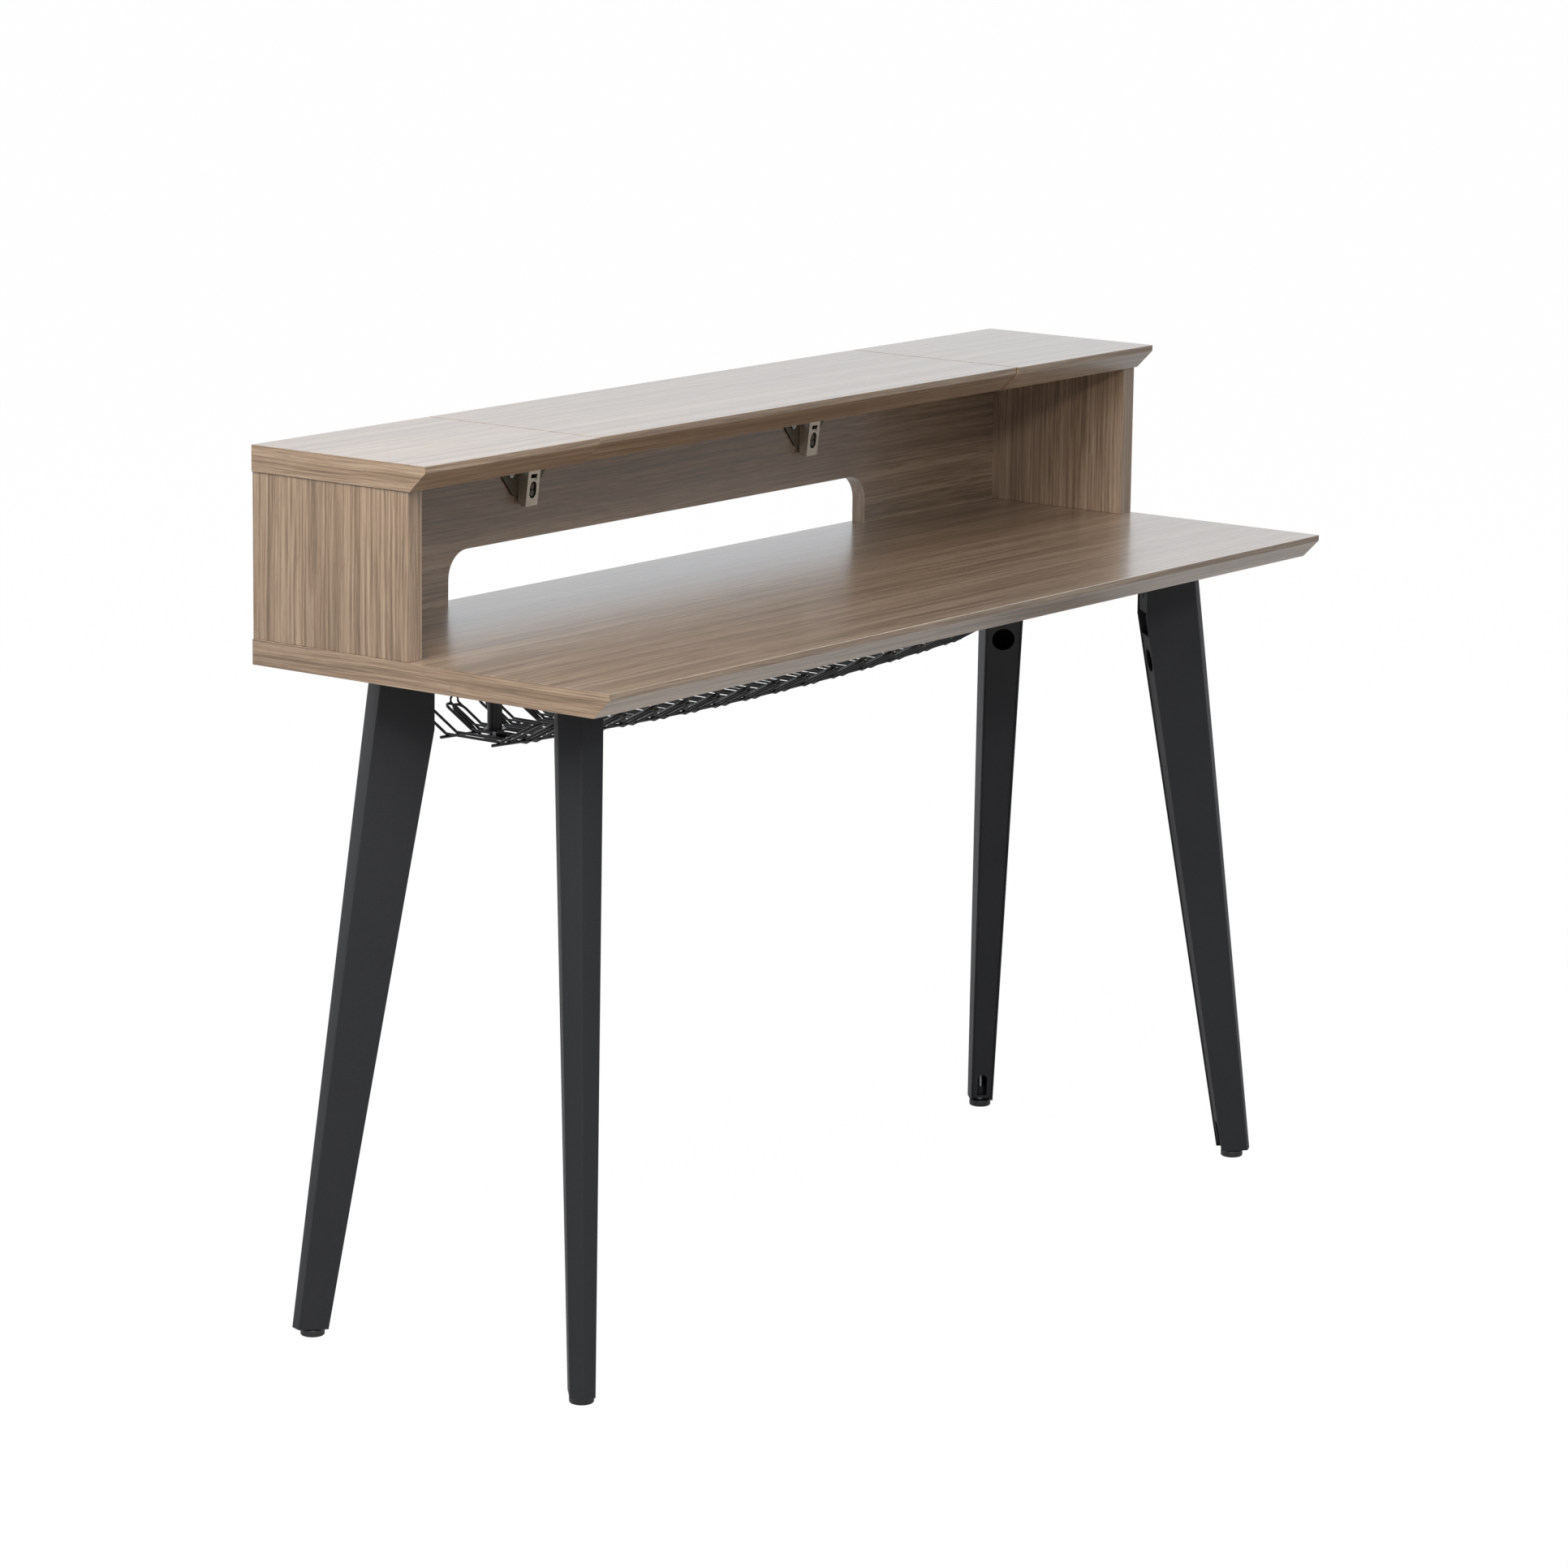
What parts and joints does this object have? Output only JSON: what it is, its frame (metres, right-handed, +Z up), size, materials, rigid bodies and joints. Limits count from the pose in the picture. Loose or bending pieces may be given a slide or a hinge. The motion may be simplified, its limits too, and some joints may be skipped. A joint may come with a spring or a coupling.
{
  "type": "desk with hutch",
  "caption": "Writing desk with bevelled worktop, splayed folded-steel legs, wire cable tray, and a low hutch whose middle top board is a hinged lid over a wide cable opening.",
  "frame": {"origin": "centre of the desk's footprint on the floor", "axes": "+X along the desk, -Y towards the person sitting at it, +Z up"},
  "size_m": [1.32, 0.472, 0.952],
  "materials": {
    "laminate": "satin wood-grain laminate",
    "leg_black": "fine-texture black powder coat",
    "nickel": "nickel plate",
    "zinc": "zinc plate",
    "beech": "plain beech",
    "black_plastic": "moulded black plastic"
  },
  "bodies": {
    "desk": {"worktop": "laminate", "side_panel_left": "laminate", "side_panel_right": "laminate", "back_panel": "laminate", "top_board_left": "laminate", "top_board_right": "laminate", "lid_rest_left": "leg_black", "lid_rest_right": "leg_black", "hinge_plate_left": "nickel", "hinge_plate_right": "nickel", "hinge_arm_left": "nickel", "hinge_arm_right": "nickel", "arm_pins": "zinc", "hinge_adjusters": "zinc", "hinge_plate_screws": "zinc", "lid_rest_screws": "zinc", "dowels": "beech", "hutch_screws": "zinc", "leg_shell_fl": "leg_black", "leg_shell_fr": "leg_black", "leg_shell_rl": "leg_black", "leg_shell_rr": "leg_black", "leg_plate_fl": "leg_black", "leg_plate_fr": "leg_black", "leg_plate_rl": "leg_black", "leg_plate_rr": "leg_black", "leg_bracket_fl": "leg_black", "leg_bracket_fr": "leg_black", "leg_bracket_rl": "leg_black", "leg_bracket_rr": "leg_black", "leg_screws": "zinc", "foot_socket_fl": "zinc", "foot_socket_fr": "zinc", "foot_socket_rl": "zinc", "foot_socket_rr": "zinc", "tray_rod_front": "leg_black", "tray_rod_rear": "leg_black", "tray_loops_lower": "leg_black", "tray_loops_upper": "leg_black", "tray_post_left": "leg_black", "tray_post_right": "leg_black", "tray_clamps": "leg_black", "tray_bolts": "zinc"},
    "lid": {"lid": "laminate", "hinge_cup_left": "nickel", "hinge_cup_right": "nickel", "cup_pins": "zinc", "cup_screws": "zinc"},
    "link_left": {"hinge_link_left": "nickel"},
    "link_right": {"hinge_link_right": "nickel"},
    "foot_fl": {"foot_glide_fl": "black_plastic", "foot_stud_fl": "zinc"},
    "foot_fr": {"foot_glide_fr": "black_plastic", "foot_stud_fr": "zinc"},
    "foot_rl": {"foot_glide_rl": "black_plastic", "foot_stud_rl": "zinc"},
    "foot_rr": {"foot_glide_rr": "black_plastic", "foot_stud_rr": "zinc"}
  },
  "joints": [
    {"name": "left_link_pivot", "type": "hinge", "parent": "desk", "child": "link_left", "pos_m": [-0.253, 0.2079, 0.921], "axis": [-1, 0, 0], "range_deg": [-21.65, 0]},
    {"name": "lid_hinge", "type": "hinge", "parent": "link_left", "child": "lid", "pos_m": [-0.253, 0.2295, 0.9284], "axis": [-1, 0, 0], "range_deg": [0, 111.6]},
    {"name": "right_link_pivot", "type": "hinge", "parent": "desk", "child": "link_right", "pos_m": [0.253, 0.2079, 0.921], "axis": [-1, 0, 0], "range_deg": [-21.65, 0]},
    {"name": "foot_fl_screw", "type": "slide", "parent": "desk", "child": "foot_fl", "axis": [0, 0, -1], "range_m": [0, 0.01]},
    {"name": "foot_fr_screw", "type": "slide", "parent": "desk", "child": "foot_fr", "axis": [0, 0, -1], "range_m": [0, 0.01]},
    {"name": "foot_rl_screw", "type": "slide", "parent": "desk", "child": "foot_rl", "axis": [0, 0, -1], "range_m": [0, 0.01]},
    {"name": "foot_rr_screw", "type": "slide", "parent": "desk", "child": "foot_rr", "axis": [0, 0, -1], "range_m": [0, 0.01]}
  ],
  "couplings": [
    {"joint": "left_link_pivot", "follows": "lid_hinge", "ratio": -0.19355},
    {"joint": "right_link_pivot", "follows": "lid_hinge", "ratio": -0.19355}
  ]
}
